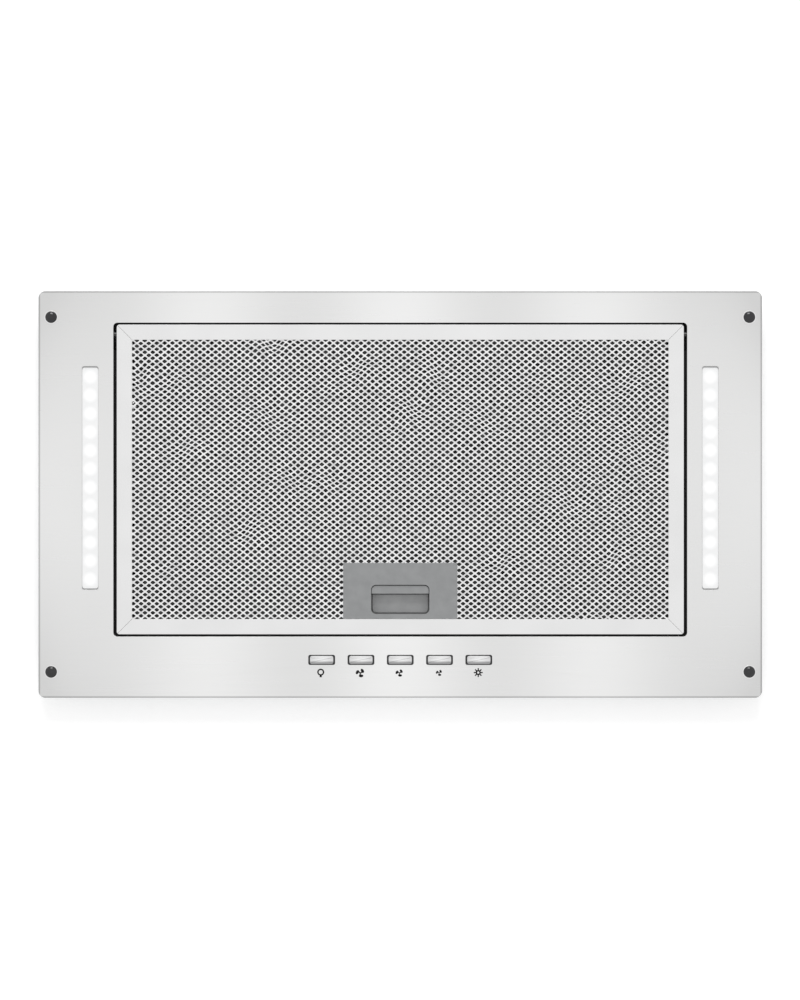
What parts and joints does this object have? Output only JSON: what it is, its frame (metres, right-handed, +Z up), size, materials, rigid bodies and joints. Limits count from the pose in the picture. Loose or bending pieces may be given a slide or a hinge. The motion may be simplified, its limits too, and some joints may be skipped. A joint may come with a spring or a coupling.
{
  "type": "range hood insert",
  "caption": "Built-in range hood insert: brushed face plate with hinged grease filter, lamps and push buttons, a sheet housing with a blower, and a round duct collar with a damper.",
  "frame": {"origin": "centre of the four fixing screws, on the flange's upper face, which bears on the cabinet", "axes": "+Z up, towards the duct; -Y the front, where the buttons are; +X to the right of a cook who faces the hood"},
  "size_m": [0.525, 0.295, 0.2168],
  "materials": {
    "brushed_stainless": "fine horizontal brushing, satin",
    "black_screw": "gloss black",
    "bright_zinc": "bright zinc plate",
    "galvanised": "galvanised sheet, soft spangle",
    "grey_plastic": "moulded, fine grain",
    "black_plastic": "moulded",
    "rubber": "matt",
    "motor_casting": "die cast",
    "white_plastic": "moulded",
    "circuit_board": "solder mask",
    "frosted_lens": "frosted diffuser",
    "anodised_channel": "extruded",
    "filter_rail_aluminium": "satin",
    "filter_mesh_aluminium": "expanded sheet",
    "satin_grey": "satin",
    "spring_steel": "blued",
    "chrome_button": "satin chrome"
  },
  "bodies": {
    "housing": {"face_panel": "brushed_stainless", "fixing_screws": "black_screw", "screw_washers": "bright_zinc", "housing_wrap": "galvanised", "housing_end_left": "galvanised", "housing_end_right": "galvanised", "exhaust_collar": "grey_plastic", "collar_ring": "galvanised", "damper_axle": "bright_zinc", "collar_screws": "bright_zinc", "scroll_wrap": "galvanised", "scroll_cheek_left": "galvanised", "scroll_cheek_right": "galvanised", "inlet_ring_left": "galvanised", "inlet_ring_right": "galvanised", "motor": "motor_casting", "motor_bracket": "galvanised", "motor_grommets": "rubber", "motor_bolts": "bright_zinc", "outlet_duct": "galvanised", "control_box": "grey_plastic", "control_box_lid": "grey_plastic", "control_board": "circuit_board", "cable_gland": "black_plastic", "capacitor": "white_plastic", "lamp_lens_left": "frosted_lens", "lamp_lens_right": "frosted_lens", "led_board_left": "white_plastic", "led_board_right": "white_plastic", "lamp_housing_left": "anodised_channel", "lamp_housing_right": "anodised_channel", "button_guide": "black_plastic", "switch_bank": "black_plastic", "hinge_bracket_left": "galvanised", "hinge_bracket_right": "galvanised"},
    "filter": {"filter_rail_front": "filter_rail_aluminium", "filter_rail_rear": "filter_rail_aluminium", "filter_rail_left": "filter_rail_aluminium", "filter_rail_right": "filter_rail_aluminium", "filter_mesh_front": "filter_mesh_aluminium", "filter_mesh_rear": "filter_mesh_aluminium", "filter_core": "filter_mesh_aluminium", "hinge_pin_left": "bright_zinc", "hinge_pin_right": "bright_zinc", "latch_plate": "satin_grey", "latch_tray": "satin_grey", "latch_cover": "satin_grey", "latch_spring": "spring_steel"},
    "latch": {"latch_slider": "satin_grey"},
    "impeller": {"impeller_left": "black_plastic", "impeller_right": "black_plastic", "motor_shaft": "bright_zinc", "impeller_nut": "bright_zinc"},
    "damper_left": {"damper_flap_left": "grey_plastic"},
    "damper_right": {"damper_flap_right": "grey_plastic"},
    "button_brightness": {"button_brightness": "chrome_button"},
    "button_fan_low": {"button_fan_low": "chrome_button"},
    "button_fan_medium": {"button_fan_medium": "chrome_button"},
    "button_fan_high": {"button_fan_high": "chrome_button"},
    "button_light": {"button_light": "chrome_button"}
  },
  "joints": [
    {"name": "filter_hinge", "type": "hinge", "parent": "housing", "child": "filter", "pos_m": [0, 0.1163, 0.002], "axis": [1, 0, 0], "range_deg": [0, 85]},
    {"name": "latch_slide", "type": "slide", "parent": "filter", "child": "latch", "axis": [0, 1, 0], "range_m": [0, 0.005], "stiffness_N_per_m": 400, "springref_m": -0.004, "deforming": ["latch_spring"]},
    {"name": "impeller_spin", "type": "hinge", "parent": "housing", "child": "impeller", "pos_m": [0, -0.027, 0.087], "axis": [1, 0, 0], "continuous": true},
    {"name": "damper_left_hinge", "type": "hinge", "parent": "housing", "child": "damper_left", "pos_m": [0, 0.018, 0.19], "axis": [0, 1, 0], "range_deg": [0, 75]},
    {"name": "damper_right_hinge", "type": "hinge", "parent": "housing", "child": "damper_right", "pos_m": [0, 0.018, 0.19], "axis": [0, -1, 0], "range_deg": [0, 75]},
    {"name": "brightness_press", "type": "slide", "parent": "housing", "child": "button_brightness", "axis": [0, 0, 1], "range_m": [0, 0.003], "stiffness_N_per_m": 300, "springref_m": -0.002},
    {"name": "fan_low_press", "type": "slide", "parent": "housing", "child": "button_fan_low", "axis": [0, 0, 1], "range_m": [0, 0.003], "stiffness_N_per_m": 300, "springref_m": -0.002},
    {"name": "fan_medium_press", "type": "slide", "parent": "housing", "child": "button_fan_medium", "axis": [0, 0, 1], "range_m": [0, 0.003], "stiffness_N_per_m": 300, "springref_m": -0.002},
    {"name": "fan_high_press", "type": "slide", "parent": "housing", "child": "button_fan_high", "axis": [0, 0, 1], "range_m": [0, 0.003], "stiffness_N_per_m": 300, "springref_m": -0.002},
    {"name": "light_press", "type": "slide", "parent": "housing", "child": "button_light", "axis": [0, 0, 1], "range_m": [0, 0.003], "stiffness_N_per_m": 300, "springref_m": -0.002}
  ]
}
